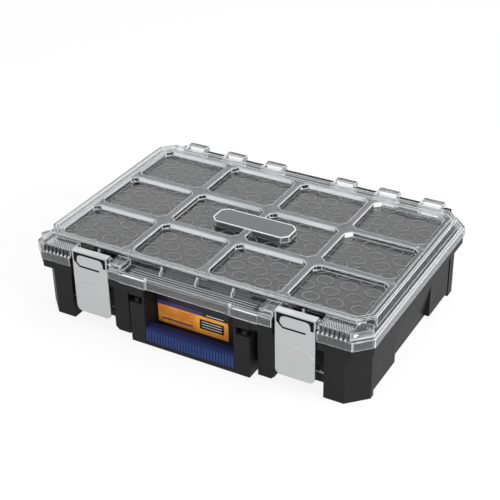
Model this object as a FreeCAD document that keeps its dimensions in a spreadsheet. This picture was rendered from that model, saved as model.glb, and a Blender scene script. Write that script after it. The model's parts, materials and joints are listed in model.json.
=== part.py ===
import FreeCAD, Part
import math
import os
import re
import Sketcher

# Compartment case for small parts: a black tray with a fixed carrying handle, twelve lift-out bins,
# a clear lid on two hinge pins at the rear and two steel latches at the front.
# X runs along the front, +Y to the rear, +Z up; the origin is on the floor under the middle of the case.

# Driving dimensions in millimetres
SIZES = {
    # Outline that the lid and the tray's rim share
    "case_width": 480,
    "case_depth": 328,
    "corner_cut": 20,
    "rim_low": 72,
    "rim_height": 11,
    "rim_setback": 1.5,
    # Tub that holds the bins
    "side_margin": 19,
    "front_margin": 32.5,
    "rear_margin": 21.5,
    "tub_wall": 3,
    "floor_low": 4,
    "floor_thick": 3,
    "lip_thick": 3,
    # Legs and panels outside the tub
    "body_inset": 8,
    "leg_cut": 24,
    "leg_depth": 32,
    "leg_side_gap": 6,
    "rear_leg_width": 34,
    "rear_leg_depth": 38,
    "panel_low": 8,
    "panel_length": 63,
    "panel_gap": 5,
    "slope_low": 11,
    "slope_drop": 16,
    "back_panel_width": 96,
    "back_panel_gap": 60,
    # Handle between two arms, beside the latch recesses
    "block_width": 23,
    "block_low": 3,
    "block_clip": 4.5,
    "groove_width": 7,
    "arm_width": 22,
    "arm_reach": 0.5,
    "slot_width": 19,
    "slot_height": 10.6,
    "slot_depth": 12,
    "slot_drop": 7.5,
    "strip_height": 6,
    "bar_depth": 16,
    "core_depth": 6,
    "grip_height": 22,
    "grip_radius": 6,
    "grip_end_gap": 0.2,
    # Label behind the handle
    "label_low": 20.5,
    "label_height": 45.5,
    "label_width": 103,
    "label_side_gap": 1,
    "label_thick": 0.5,
    # Bins
    "bin_play": 0.5,
    "bin_gap": 0.8,
    "bin_wall": 1.6,
    "bin_floor": 1.6,
    "bin_corner": 6,
    "bin_head_gap": 1,
    # Lid
    "skirt_gap": 1,
    "skirt_height": 12.5,
    "skirt_wall": 3,
    "lid_wall": 2.5,
    "frame_rise": 13.5,
    "frame_side_inset": 9,
    "frame_front_inset": 25.5,
    "frame_rear_inset": 10.5,
    "frame_cut": 18,
    "lattice_drop": 3,
    "lattice_margin": 2,
    "window_drop": 6,
    "rib_width": 10,
    "window_clip": 8,
    "badge_width": 113,
    "badge_depth": 36,
    "badge_clip": 8,
    "badge_drop": 1.5,
    "bead_inset": 3.5,
    "bead_width": 1.6,
    "bead_rise": 1.6,
    "front_reach": 2,
    "tab_width": 39,
    "gusset_pitch": 51,
    "gusset_thick": 2,
    "gusset_length": 6,
    "gusset_drop": 5,
    "guide_width": 18,
    "guide_drop": 6,
    "corner_block_inset": 4,
    "corner_block_drop": 4,
    "corner_block_reach": 10,
    "seal_height": 2.4,
    "seal_gap": 0.1,
    # Hinge
    "hinge_back": 6.5,
    "hinge_drop": 10.5,
    "hinge_pin_radius": 1.5,
    "hinge_pin_seat": 6,
    "pin_clearance": 0.08,
    "knuckle_first": 55.4,
    "knuckle_inset": 55.6,
    "knuckle_width": 30,
    "knuckle_gap": 0.8,
    "knuckle_half": 5.5,
    "knuckle_rise": 8.5,
    "knuckle_clip": 1.5,
    "rail_radius": 2.4,
    "rail_overhang": 10,
    "rail_root": 3,
    "rail_rise": 10,
    "rear_trim_depth": 5.5,
    # Latches
    "latch_inset": 94.5,
    "latch_width": 53,
    "latch_side_gap": 3,
    "latch_setback": 3.4,
    "latch_low": 18,
    "latch_corner": 8,
    "latch_sheet": 1.6,
    "catch_drop": 3.7,
    "catch_thick": 5,
    "catch_side_gap": 1.5,
    "catch_front_gap": 4,
    "claw_gap": 0.7,
    "claw_reach": 10,
    "latch_window_margin": 2,
    "latch_window_height": 21,
    "latch_window_top_gap": 0.4,
    "latch_window_clip": 8,
    "tongue_side_gap": 4.5,
    "tongue_top_gap": 3.2,
    "tongue_low_gap": 2.6,
    "tongue_corner": 6,
    "tongue_clip": 4.6,
    "neck_width": 10.6,
    "neck_height": 7,
    "latch_pin_radius": 2,
    "latch_pin_height": 33,
    "latch_pin_depth": 9.6,
    "latch_pin_seat": 8,
    "ear_radius": 5,
    # How far a cutting shape runs past the face that it opens
    "overrun": 2,
}

COLUMNS = 4
ROWS = 3
KNUCKLES_PER_PIN = 3
# How far a corner rounded with one point between its ends is cut back at that point, as a share of its radius
ROUND_SHARE = 1 - math.sqrt(0.5)

# Places worked out from the driving dimensions
PLACES = {
    "mid_y": "(front_reach - hinge_back - knuckle_half) / 2",
    "lid_half": "case_width / 2",
    "lid_front": "mid_y - case_depth / 2",
    "lid_rear": "mid_y + case_depth / 2",
    "rim_front": "lid_front + rim_setback",
    "rim_rear": "lid_rear - rim_setback",
    "rim_top": "rim_low + rim_height",
    "body_half": "lid_half - body_inset",
    "body_front": "lid_front + body_inset",
    "body_rear": "lid_rear - body_inset",
    "cavity_half": "lid_half - side_margin",
    "cavity_front": "lid_front + front_margin",
    "cavity_rear": "lid_rear - rear_margin",
    "cavity_mid": "(cavity_front + cavity_rear) / 2",
    "tub_half": "cavity_half + tub_wall",
    "tub_front": "cavity_front - tub_wall",
    "tub_rear": "cavity_rear + tub_wall",
    "floor_top": "floor_low + floor_thick",
    "skirt_low": "rim_top + skirt_gap",
    "ledge_top": "skirt_low + skirt_height",
    "ledge_low": "ledge_top - lid_wall",
    "upstand_top": "ledge_low - seal_height - seal_gap",
    "frame_top": "ledge_top + frame_rise",
    "lattice_top": "frame_top - lattice_drop",
    "window_top": "lattice_top - window_drop",
    "window_low": "window_top - lid_wall",
    "bin_top": "window_low - bin_head_gap",
    "bin_pitch_x": f"(2 * cavity_half - 2 * bin_play) / {COLUMNS}",
    "bin_pitch_y": f"(cavity_rear - cavity_front - 2 * bin_play) / {ROWS}",
    "frame_half": "lid_half - frame_side_inset",
    "frame_front": "lid_front + frame_front_inset",
    "frame_rear": "lid_rear - frame_rear_inset",
    "lattice_half": f"bin_pitch_x * {COLUMNS} / 2 - rib_width / 2 + lattice_margin",
    "lattice_front": f"cavity_mid - bin_pitch_y * {ROWS} / 2 + rib_width / 2 - lattice_margin",
    "lattice_rear": f"cavity_mid + bin_pitch_y * {ROWS} / 2 - rib_width / 2 + lattice_margin",
    "latch_centre": "lid_half - latch_inset",
    "recess_out": "latch_centre + latch_width / 2 + latch_side_gap",
    "recess_in": "latch_centre - latch_width / 2 - latch_side_gap",
    "leg_in": "recess_out + leg_side_gap",
    "block_in": "recess_in - block_width",
    "arm_out": "block_in - groove_width",
    "arm_in": "arm_out - arm_width",
    "arm_front": "lid_front + arm_reach",
    "bar_rear": "arm_front + bar_depth",
    "grip_top": "strip_height + grip_height",
    "label_left": "label_side_gap - arm_in",
    "slot_centre_height": "rim_low - slot_drop",
    "slope_high": "rim_low - slope_drop",
    "hinge_y": "lid_rear + hinge_back",
    "hinge_z": "frame_top - hinge_drop",
    "knuckle_last": "lid_half - knuckle_inset",
    "knuckle_pitch": f"(knuckle_last - knuckle_first) / {KNUCKLES_PER_PIN - 1}",
    "hinge_zone": "knuckle_last + knuckle_width / 2",
    "rail_half": "hinge_zone + rail_overhang",
    "ledge_rear": "lid_rear - rear_trim_depth",
    "latch_face": "lid_front + latch_setback",
    "latch_back": "latch_face + latch_sheet",
    "latch_pin_y": "latch_face + latch_pin_depth",
    "catch_front": "latch_back + catch_front_gap",
    "catch_top": "frame_top - catch_drop",
    "claw_low": "catch_top + claw_gap",
    "claw_top": "claw_low + latch_sheet",
    "latch_window_high": "claw_low - latch_window_top_gap",
    "latch_window_low": "latch_window_high - latch_window_height",
    "tongue_high": "latch_window_high - tongue_top_gap",
    "tongue_low": "latch_window_low + tongue_low_gap",
}

doc = FreeCAD.newDocument("compartment_case")
sheet = doc.addObject("Spreadsheet::Sheet", "sizes")
for row, (alias, value) in enumerate(SIZES.items(), start=1):
    sheet.set(f"A{row}", alias)
    sheet.set(f"B{row}", str(value))
    sheet.setAlias(f"B{row}", alias)
doc.recompute()


def formula(text):
    """Write a formula of named sizes and places as an expression on the sheet's cells."""

    def cell(match):
        name = match.group(0)
        if name in PLACES:
            return f"({formula(PLACES[name])})"
        if name in SIZES:
            return f"sizes.{name}"
        raise KeyError(name)

    return re.sub(r"[a-z_]+", cell, str(text))


def bind(thing, **formulas):
    """Tie an object's properties to the sheet; a double underscore in a name stands for a dot."""
    for name, text in formulas.items():
        thing.setExpression(name.replace("__", "."), formula(text))
    return thing


def seat(thing, x, y, z):
    return bind(thing, Placement__Base__x=x, Placement__Base__y=y, Placement__Base__z=z)


def block(name, x, y, z):
    """Box between two planes on each axis."""
    box = doc.addObject("Part::Box", name)
    bind(
        box,
        Length=f"({x[1]}) - ({x[0]})",
        Width=f"({y[1]}) - ({y[0]})",
        Height=f"({z[1]}) - ({z[0]})",
    )
    return seat(box, x[0], y[0], z[0])


def rod(name, axis, centre, ends, radius):
    """Cylinder along X or Y; centre holds the two other coordinates in X, Y, Z order."""
    cylinder = doc.addObject("Part::Cylinder", name)
    bind(cylinder, Radius=radius, Height=f"({ends[1]}) - ({ends[0]})")
    if axis == "X":
        cylinder.Placement.Rotation = FreeCAD.Rotation(FreeCAD.Vector(0, 1, 0), 90)
        return seat(cylinder, ends[0], centre[0], centre[1])
    cylinder.Placement.Rotation = FreeCAD.Rotation(FreeCAD.Vector(1, 0, 0), -90)
    return seat(cylinder, centre[0], ends[0], centre[1])


def origin_plane(body, plane):
    return next(feature for feature in body.Origin.OriginFeatures if feature.Role == f"{plane}_Plane")


def prism(name, plane, points, ends):
    """Body padded from a closed outline on one of its origin planes, between two places along the normal."""
    body = doc.addObject("PartDesign::Body", name)
    sketch = body.newObject("Sketcher::SketchObject", f"{name}_outline")
    sketch.AttachmentSupport = (origin_plane(body, plane), [""])
    sketch.MapMode = "FlatFace"
    # The corners start on a circle, and two named constraints each then bring them to their places
    count = len(points)
    turn = 2 * math.pi / count
    corners = [FreeCAD.Vector(math.cos(turn * i), math.sin(turn * i), 0) for i in range(count)]
    sketch.addGeometry([Part.LineSegment(corners[i], corners[(i + 1) % count]) for i in range(count)])
    constraints = [Sketcher.Constraint("Coincident", i, 2, (i + 1) % count, 1) for i in range(count)]
    for i, corner in enumerate(corners):
        constraints.append(Sketcher.Constraint("DistanceX", i, 1, corner.x))
        constraints.append(Sketcher.Constraint("DistanceY", i, 1, corner.y))
    sketch.addConstraint(constraints)
    for i, (across, up) in enumerate(points):
        bind(sketch, **{f"Constraints[{count + 2 * i}]": across, f"Constraints[{count + 2 * i + 1}]": up})
    # The XZ plane's normal points to the front, the other two along +X and +Z
    bind(sketch, AttachmentOffset__Base__z=f"-({ends[1]})" if plane == "XZ" else ends[0])
    pad = body.newObject("PartDesign::Pad", f"{name}_pad")
    pad.Profile = sketch
    bind(pad, Length=f"({ends[1]}) - ({ends[0]})")
    return body


def clipped(name, x, y, z, clip):
    """Upright block whose four corners are cut at 45 degrees."""
    points = [
        (f"({x[0]}) + ({clip})", y[0]),
        (f"({x[1]}) - ({clip})", y[0]),
        (x[1], f"({y[0]}) + ({clip})"),
        (x[1], f"({y[1]}) - ({clip})"),
        (f"({x[1]}) - ({clip})", y[1]),
        (f"({x[0]}) + ({clip})", y[1]),
        (x[0], f"({y[1]}) - ({clip})"),
        (x[0], f"({y[0]}) + ({clip})"),
    ]
    return prism(name, "XY", points, z)


def fused(name, shapes):
    if len(shapes) == 1:
        return shapes[0]
    whole = doc.addObject("Part::MultiFuse", name)
    whole.Shapes = shapes
    whole.Refine = True
    return whole


def cut(name, base, tools):
    rest = doc.addObject("Part::Cut", name)
    rest.Base = base
    rest.Tool = fused(f"{name}_tools", tools)
    rest.Refine = True
    return rest


SIDES = ("left", "right")
# Each hinge axis runs along X, so two coordinates place it
HINGE_AXIS = ("hinge_y", "hinge_z")
LATCH_AXIS = ("latch_pin_y", "latch_pin_height")


def span(side, low, high):
    """The same stretch of X on the right of the case, or mirrored to the left."""
    return (low, high) if side == "right" else (f"-({high})", f"-({low})")


def at(side, place):
    return place if side == "right" else f"-({place})"


def flipped(side, points):
    return [(at(side, across), up) for across, up in points]


def past(low="0", high="0", below=False, above=False):
    """A stretch that runs past one or both of its ends, for a cut."""
    start = f"({low}) - overrun" if below else low
    end = f"({high}) + overrun" if above else high
    return start, end


NODES = {}


def node(label, thing):
    thing.Label = label
    NODES[label] = thing
    return thing


def knuckle_centre(index):
    return f"knuckle_first + knuckle_pitch * {index}"


def base_tray():
    """Black moulded tray: tub, rim, legs, side panels, handle arms and the base half of the hinge."""
    under_rim = "rim_low + rim_height / 2"
    rail = [
        ("rim_rear - rail_root", "rim_low"),
        ("rim_rear", "rim_low"),
        ("hinge_y + rail_radius", "rim_low + rail_rise"),
        ("hinge_y + rail_radius", "hinge_z"),
        ("hinge_y - rail_radius", "hinge_z"),
        ("hinge_y - rail_radius", "rim_top"),
        ("rim_rear - rail_root", "rim_top"),
    ]
    solid = [
        block("tub", ("-tub_half", "tub_half"), ("tub_front", "tub_rear"), ("floor_low", "upstand_top")),
        frame_outline("tub_lip", "0", ("upstand_top - lip_thick", "upstand_top")),
        lid_ring("rim", "rim_setback", ("rim_low", "rim_top")),
        block("handle_strip", ("-arm_in", "arm_in"), ("arm_front", "bar_rear"), ("0", "strip_height")),
        block(
            "handle_core",
            ("-arm_in", "arm_in"),
            ("(arm_front + bar_rear - core_depth) / 2", "(arm_front + bar_rear + core_depth) / 2"),
            ("0", "grip_top - grip_radius"),
        ),
        rod("rail_top", "X", HINGE_AXIS, ("-rail_half", "rail_half"), "rail_radius"),
        prism("rail", "YZ", rail, ("-rail_half", "rail_half")),
    ]
    gone = [
        clipped(
            "cavity",
            ("-cavity_half", "cavity_half"),
            ("cavity_front", "cavity_rear"),
            past("floor_top", "upstand_top", above=True),
            "bin_corner",
        ),
        block(
            "handle_gap",
            ("-arm_in", "arm_in"),
            past("rim_front", "tub_front", below=True),
            past("rim_low", "rim_top", below=True, above=True),
        ),
    ]
    for side in SIDES:
        front_leg = [
            ("leg_in", "body_front"),
            ("body_half - leg_cut", "body_front"),
            ("body_half", "body_front + leg_cut"),
            ("body_half", "body_front + leg_depth"),
            ("leg_in", "body_front + leg_depth"),
        ]
        solid.append(prism(f"front_leg_{side}", "XY", flipped(side, front_leg), ("0", under_rim)))
        rear_leg = [
            ("body_half - rear_leg_width", "body_rear - rear_leg_depth"),
            ("body_half", "body_rear - rear_leg_depth"),
            ("body_half", "body_rear - leg_cut"),
            ("body_half - leg_cut", "body_rear"),
            ("body_half - rear_leg_width", "body_rear"),
        ]
        solid.append(prism(f"rear_leg_{side}", "XY", flipped(side, rear_leg), ("0", under_rim)))

        # Side wall: two flush panels with a panel between them that slopes in towards the floor
        wall = span(side, "cavity_half", "body_half")
        panel_rise = ("panel_low", under_rim)
        rear_panel_end = "body_rear - rear_leg_depth - panel_gap"
        rear_panel_start = f"{rear_panel_end} - panel_length"
        front_panel_start = "body_front + leg_depth"
        front_panel_end = f"{front_panel_start} + panel_length"
        solid.append(block(f"front_panel_{side}", wall, (front_panel_start, front_panel_end), panel_rise))
        solid.append(block(f"rear_panel_{side}", wall, (rear_panel_start, rear_panel_end), panel_rise))
        slope = [
            ("cavity_half", "slope_low"),
            ("tub_half", "slope_low"),
            ("body_half", "slope_high"),
            ("body_half", under_rim),
            ("cavity_half", under_rim),
        ]
        slope_run = (front_panel_end, rear_panel_start)
        solid.append(prism(f"side_slope_{side}", "XZ", flipped(side, slope), slope_run))

        back = span(side, "back_panel_gap / 2", "back_panel_gap / 2 + back_panel_width")
        solid.append(block(f"back_panel_{side}", back, ("cavity_rear", "body_rear"), panel_rise))

        # Block beside the latch recess, a groove, and the handle's arm
        front_block = [
            ("block_in", "block_low"),
            ("recess_in - block_clip", "block_low"),
            ("recess_in", "block_low + block_clip"),
            ("recess_in", under_rim),
            ("block_in", under_rim),
        ]
        block_run = ("body_front", "cavity_front")
        solid.append(prism(f"front_block_{side}", "XZ", flipped(side, front_block), block_run))
        arm = span(side, "arm_in", "arm_out")
        solid.append(block(f"arm_{side}", arm, ("arm_front", "cavity_front"), ("0", "rim_top")))
        # Each arm has a slot near its head, open at the front and towards the groove
        slot = span(side, *past("arm_out - slot_width", "arm_out", above=True))
        slot_rise = ("slot_centre_height - slot_height / 2", "slot_centre_height + slot_height / 2")
        gone.append(
            block(f"slot_{side}", slot, past("arm_front", "arm_front + slot_depth", below=True), slot_rise)
        )
        gone.append(
            block(
                f"latch_recess_{side}",
                span(side, "recess_in", "recess_out"),
                past("rim_front", "tub_front", below=True),
                past("rim_low", "rim_top", below=True, above=True),
            )
        )
        gone.append(
            rod(
                f"latch_pin_seats_{side}",
                "X",
                LATCH_AXIS,
                span(side, "recess_in - latch_pin_seat", "leg_in + latch_pin_seat"),
                "latch_pin_radius + pin_clearance",
            )
        )

        # Notches in the hinge rail for the lid's knuckles, and the seat of the hinge pin
        for index in range(KNUCKLES_PER_PIN):
            half_notch = "knuckle_width / 2 + knuckle_gap"
            ends = span(
                side,
                f"{knuckle_centre(index)} - ({half_notch})",
                f"{knuckle_centre(index)} + ({half_notch})",
            )
            notch_y = past("hinge_y - rail_radius", "hinge_y + rail_radius", below=True, above=True)
            notch_z = past("rim_top", "hinge_z + rail_radius", above=True)
            gone.append(block(f"knuckle_notch_{side}_{index}", ends, notch_y, notch_z))
        gone.append(hinge_rod(f"hinge_seat_{side}", side, "hinge_pin_seat", "pin_clearance"))
    return cut("tray", fused("tray_solid", solid), gone)


def hinge_rod(name, side, beyond, clearance):
    """Hinge pin, or the bore for it, running past the outer knuckles at both ends."""
    ends = span(side, f"knuckle_first - knuckle_width / 2 - ({beyond})", f"hinge_zone + ({beyond})")
    return rod(name, "X", HINGE_AXIS, ends, f"hinge_pin_radius + ({clearance})")


def grip():
    """Blue sleeve on the handle bar, rounded along its two upper edges, slotted for the bar's core."""
    body = doc.addObject("PartDesign::Body", "grip_sleeve")
    sleeve = body.newObject("PartDesign::AdditiveBox", "sleeve")
    bind(sleeve, Length="2 * (arm_in - grip_end_gap)", Width="bar_depth", Height="grip_height")
    bind(
        sleeve,
        AttachmentOffset__Base__x="grip_end_gap - arm_in",
        AttachmentOffset__Base__y="arm_front",
        AttachmentOffset__Base__z="strip_height",
    )
    sleeve.AttachmentSupport = (origin_plane(body, "XY"), [""])
    sleeve.MapMode = "FlatFace"
    doc.recompute()
    top = sleeve.Shape.BoundBox.ZMax
    upper_edges = [
        f"Edge{i}"
        for i, edge in enumerate(sleeve.Shape.Edges, start=1)
        if edge.BoundBox.ZMin == top and edge.BoundBox.XLength > edge.BoundBox.YLength
    ]
    rounding = body.newObject("PartDesign::Fillet", "sleeve_rounding")
    rounding.Base = (sleeve, upper_edges)
    bind(rounding, Radius="grip_radius")
    core_room = block(
        "core_room",
        past("-arm_in", "arm_in", below=True, above=True),
        ("(arm_front + bar_rear - core_depth) / 2", "(arm_front + bar_rear + core_depth) / 2"),
        past("strip_height", "grip_top - grip_radius", below=True),
    )
    return cut("grip", body, [core_room])


def bin_box(column, row):
    """Open-topped bin with clipped corners in one cell of the tub."""
    name = f"bin_{row}_{column}"
    centre_x = f"bin_pitch_x * ({column} - {(COLUMNS - 1) / 2})"
    centre_y = f"cavity_mid + bin_pitch_y * ({row} - {(ROWS - 1) / 2})"
    half_x = "(bin_pitch_x - bin_gap) / 2"
    half_y = "(bin_pitch_y - bin_gap) / 2"
    outside = clipped(
        f"{name}_outside",
        (f"{centre_x} - {half_x}", f"{centre_x} + {half_x}"),
        (f"{centre_y} - {half_y}", f"{centre_y} + {half_y}"),
        ("floor_top", "bin_top"),
        "bin_corner",
    )
    inside = clipped(
        f"{name}_inside",
        (f"{centre_x} - {half_x} + bin_wall", f"{centre_x} + {half_x} - bin_wall"),
        (f"{centre_y} - {half_y} + bin_wall", f"{centre_y} + {half_y} - bin_wall"),
        past("floor_top + bin_floor", "bin_top", above=True),
        "bin_corner",
    )
    return cut(name, outside, [inside])


def lid():
    """Clear lid: skirt, ledge, raised frame, ribs round sunk windows, front blocks and hinge knuckles."""
    solid = []
    shell = lid_ring("lid_shell", "0", ("skirt_low", "ledge_top"))
    hollow = clipped(
        "lid_hollow",
        ("skirt_wall - lid_half", "lid_half - skirt_wall"),
        ("lid_front + skirt_wall", "lid_rear - skirt_wall"),
        past("skirt_low", "ledge_low", below=True),
        "corner_cut - skirt_wall",
    )
    bead_outside = lid_ring("bead_outside", "bead_inset", ("ledge_low", "ledge_top + bead_rise"))
    bead_inside = lid_ring(
        "bead_inside",
        "bead_inset + bead_width",
        past("ledge_low", "ledge_top + bead_rise", below=True, above=True),
    )
    bead = cut("bead", bead_outside, [bead_inside])
    trim = [
        block(
            "rear_trim",
            ("corner_cut - lid_half", "lid_half - corner_cut"),
            past("ledge_rear", "lid_rear", above=True),
            past("skirt_low", "ledge_top + bead_rise", below=True, above=True),
        )
    ]
    for side in SIDES:
        trim.append(
            block(
                f"latch_trim_{side}",
                span(side, "recess_in", "recess_out"),
                past("lid_front", "catch_front", below=True),
                past("skirt_low", "ledge_top + bead_rise", below=True, above=True),
            )
        )
    solid.append(cut("lid_rim", fused("lid_rim_solid", [cut("lid_pan", shell, [hollow]), bead]), trim))
    solid.append(frame_outline("lid_frame", "0", ("ledge_low", "frame_top")))
    for side in SIDES:
        solid += lid_front_pieces(side)
        for index in range(KNUCKLES_PER_PIN):
            solid.append(lid_knuckle(side, index))
    for index in range(-1, 2):
        solid.append(gusset(f"gusset_{index + 1}", f"gusset_pitch * {index}"))

    # Sunk lattice and windows from above
    gone = [
        block(
            "lattice_pocket",
            ("-lattice_half", "lattice_half"),
            ("lattice_front", "lattice_rear"),
            past("lattice_top", "frame_top", above=True),
        )
    ]
    for column in range(COLUMNS):
        for row in range(ROWS):
            gone.append(window(column, row))
    gone += lid_underside()
    gone += [hinge_rod(f"lid_bore_{side}", side, "overrun", "pin_clearance") for side in SIDES]
    body = cut("lid_body", fused("lid_solid", solid), gone)

    # Bare badge plate across the middle rib, hollow below
    half_x = "badge_width / 2"
    half_y = "badge_depth / 2"
    badge_top = "frame_top - badge_drop"
    badge = clipped(
        "badge",
        (f"-{half_x}", half_x),
        (f"cavity_mid - {half_y}", f"cavity_mid + {half_y}"),
        ("window_low", badge_top),
        "badge_clip",
    )
    badge_room = clipped(
        "badge_room",
        (f"lid_wall - {half_x}", f"{half_x} - lid_wall"),
        (f"cavity_mid - {half_y} + lid_wall", f"cavity_mid + {half_y} - lid_wall"),
        past("window_low", f"{badge_top} - lid_wall", below=True),
        "badge_clip",
    )
    return cut("lid_whole", fused("lid_with_badge", [body, badge]), [badge_room])


def lid_ring(name, inset, z):
    return clipped(
        name,
        (f"({inset}) - lid_half", f"lid_half - ({inset})"),
        (f"lid_front + ({inset})", f"lid_rear - ({inset})"),
        z,
        "corner_cut",
    )


def frame_outline(name, inset, z):
    """Block with the outline of the lid's raised frame, or that outline drawn in."""
    return clipped(
        name,
        (f"({inset}) - frame_half", f"frame_half - ({inset})"),
        (f"frame_front + ({inset})", f"frame_rear - ({inset})"),
        z,
        f"frame_cut - ({inset})",
    )


def window(column, row):
    centre_x = f"bin_pitch_x * ({column} - {(COLUMNS - 1) / 2})"
    centre_y = f"cavity_mid + bin_pitch_y * ({row} - {(ROWS - 1) / 2})"
    half_x = "(bin_pitch_x - rib_width) / 2"
    half_y = "(bin_pitch_y - rib_width) / 2"
    return clipped(
        f"window_{column}_{row}",
        (f"{centre_x} - {half_x}", f"{centre_x} + {half_x}"),
        (f"{centre_y} - {half_y}", f"{centre_y} + {half_y}"),
        past("window_top", "frame_top", above=True),
        "window_clip",
    )


def lid_underside():
    """Hollows that leave an even wall: under the windows, in the ribs and under the raised frame."""
    gone = [frame_outline("under_windows", "lid_wall", past("ledge_low", "window_low", below=True))]
    channel = past("window_low", "lattice_top - lid_wall", below=True)
    half_channel = "(rib_width / 2 - lid_wall)"
    run_x = ("-lattice_half", "lattice_half")
    run_y = ("lattice_front", "lattice_rear")
    for line in range(1, COLUMNS):
        place = f"bin_pitch_x * ({line} - {COLUMNS / 2})"
        width = (f"{place} - {half_channel}", f"{place} + {half_channel}")
        gone.append(block(f"rib_room_x_{line}", width, run_y, channel))
    for line in range(1, ROWS):
        place = f"cavity_mid + bin_pitch_y * ({line} - {ROWS / 2})"
        width = (f"{place} - {half_channel}", f"{place} + {half_channel}")
        gone.append(block(f"rib_room_y_{line}", run_x, width, channel))
    room_rise = past("window_low", "frame_top - lid_wall", below=True)
    frame_room = frame_outline("frame_room", "lid_wall", room_rise)
    frame_keep = block(
        "frame_keep",
        ("-lattice_half - lid_wall", "lattice_half + lid_wall"),
        ("lattice_front - lid_wall", "lattice_rear + lid_wall"),
        past("window_low", "frame_top", below=True, above=True),
    )
    gone.append(cut("frame_ring", frame_room, [frame_keep]))
    return gone


def gusset(name, centre):
    """Thin triangular web from the ledge up the raised frame's front wall."""
    points = [
        ("frame_front - gusset_length", "ledge_low"),
        ("frame_front + lid_wall", "ledge_low"),
        ("frame_front + lid_wall", "frame_top - gusset_drop"),
        ("frame_front", "frame_top - gusset_drop"),
        ("frame_front - gusset_length", "ledge_top + lid_wall"),
    ]
    return prism(name, "YZ", points, (f"{centre} - gusset_thick / 2", f"{centre} + gusset_thick / 2"))


def lid_front_pieces(side):
    """Front of the lid on one side: handle tab, guide block, catch under the claw and corner block."""
    tab = block(
        f"tab_{side}",
        span(side, "recess_in - guide_width - tab_width", "recess_in - guide_width"),
        ("lid_front - front_reach", "lid_front + skirt_wall"),
        ("skirt_low", "ledge_top"),
    )
    guide_x = span(side, "recess_in - guide_width", "recess_in")
    guide_room_x = span(side, "recess_in - guide_width + lid_wall", "recess_in - lid_wall")
    guide = cut(
        f"guide_{side}",
        block(
            f"guide_block_{side}",
            guide_x,
            ("lid_front + corner_block_inset", "frame_front + lid_wall"),
            ("ledge_low", "frame_top - guide_drop"),
        ),
        [
            block(
                f"guide_room_{side}",
                guide_room_x,
                ("lid_front + corner_block_inset + lid_wall", "frame_front"),
                past("ledge_low", "frame_top - guide_drop - lid_wall", below=True),
            )
        ],
    )
    catch = block(
        f"catch_{side}",
        span(side, "recess_in + catch_side_gap", "recess_out - catch_side_gap"),
        ("catch_front", "catch_front + catch_thick"),
        ("ledge_low", "catch_top"),
    )
    block_front = "lid_front + corner_block_inset"
    block_end = "lid_half - corner_block_inset"
    corner_points = [
        ("recess_out", block_front),
        (f"{block_end} - corner_cut", block_front),
        (block_end, f"{block_front} + corner_cut"),
        ("frame_half", f"{block_front} + corner_cut + corner_block_reach"),
        ("recess_out", f"{block_front} + corner_cut + corner_block_reach"),
    ]
    corner_rise = ("ledge_low", "frame_top - corner_block_drop")
    corner_block = prism(f"corner_block_{side}", "XY", flipped(side, corner_points), corner_rise)
    corner_room = block(
        f"corner_room_{side}",
        span(side, "recess_out + lid_wall", f"{block_end} - corner_cut"),
        (f"{block_front} + lid_wall", "frame_front"),
        past("ledge_low", "frame_top - corner_block_drop - lid_wall", below=True),
    )
    corner = cut(f"corner_{side}", corner_block, [corner_room])
    return [tab, guide, catch, corner, gusset(f"latch_gusset_{side}", at(side, "latch_centre"))]


def lid_knuckle(side, index):
    """Square knuckle on the hinge axis with clipped rear corners, on an arm from the lid's rear ledge."""
    centre = knuckle_centre(index)
    ends = span(side, f"{centre} - knuckle_width / 2", f"{centre} + knuckle_width / 2")
    rear = "hinge_y + knuckle_half"
    low = "hinge_z - knuckle_half"
    high = "hinge_z + knuckle_rise"
    outline = [
        ("frame_rear - lid_wall", "ledge_low"),
        ("ledge_rear", "ledge_low"),
        ("hinge_y - knuckle_half", low),
        (f"{rear} - knuckle_clip", low),
        (rear, f"{low} + knuckle_clip"),
        (rear, f"{high} - knuckle_clip"),
        (f"{rear} - knuckle_clip", high),
        ("frame_rear - lid_wall", high),
    ]
    return prism(f"knuckle_{side}_{index}", "YZ", outline, ends)


def seal():
    """Soft strip under the wall of the lid's raised frame, just above the lip round the tub."""
    low = "upstand_top + seal_gap"
    outside = frame_outline("seal_outside", "0", (low, "ledge_low"))
    inside = frame_outline("seal_inside", "lid_wall", past(low, "ledge_low", below=True, above=True))
    return cut("seal", outside, [inside])


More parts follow.
